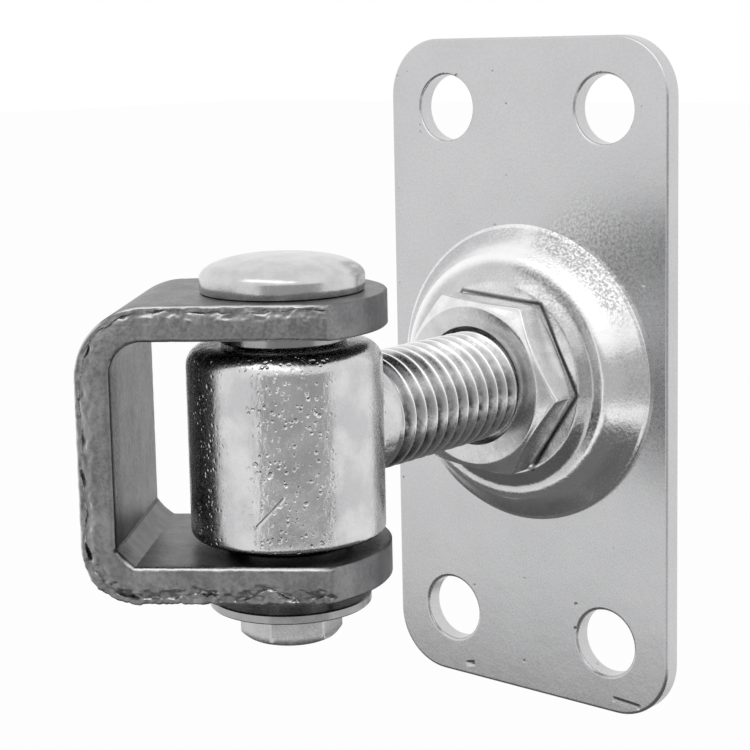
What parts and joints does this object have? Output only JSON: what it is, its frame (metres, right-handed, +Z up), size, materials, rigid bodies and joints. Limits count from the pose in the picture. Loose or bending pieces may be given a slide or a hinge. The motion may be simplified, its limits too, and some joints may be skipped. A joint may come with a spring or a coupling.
{
  "type": "adjustable gate hinge",
  "caption": "Screw-adjustable gate hinge: bolt-on plate with threaded boss, lock nut, eye bolt and swinging U bracket on an upright pin.",
  "frame": {"origin": "centre of the mounting plate's back face, on the axis of the threaded rod", "axes": "+Z up along the plate's long side and the hinge pin, +Y into the post that the plate is bolted to, the rod points along -Y"},
  "size_m": [0.0577, 0.088, 0.11],
  "materials": {
    "zinc_plate": "zinc plated sheet, satin",
    "zinc_forging": "zinc plated forging, lightly pitted",
    "zinc_bright": "bright zinc plating",
    "raw_steel": "raw hot rolled steel with sheared edges"
  },
  "bodies": {
    "plate": {"mounting_plate": "zinc_plate", "threaded_boss": "zinc_forging"},
    "lock_nut": {"lock_nut": "zinc_bright"},
    "eye_bolt": {"eye_bolt": "zinc_forging", "pivot_sleeve": "zinc_bright"},
    "clevis": {"clevis_bracket": "raw_steel", "upper_spacer": "zinc_bright", "lower_washer": "zinc_bright", "hinge_pin": "zinc_bright", "pin_washer": "zinc_bright", "pin_nut": "zinc_bright"}
  },
  "joints": [
    {"name": "lock_nut_travel", "type": "slide", "parent": "plate", "child": "lock_nut", "axis": [0, -1, 0], "range_m": [0, 0.003]},
    {"name": "depth_adjust", "type": "slide", "parent": "plate", "child": "eye_bolt", "axis": [0, 1, 0], "range_m": [-0.003, 0.012]},
    {"name": "gate_swing", "type": "hinge", "parent": "eye_bolt", "child": "clevis", "pos_m": [0, -0.0605, 0], "axis": [0, 0, 1], "range_deg": [-71, 179]}
  ]
}
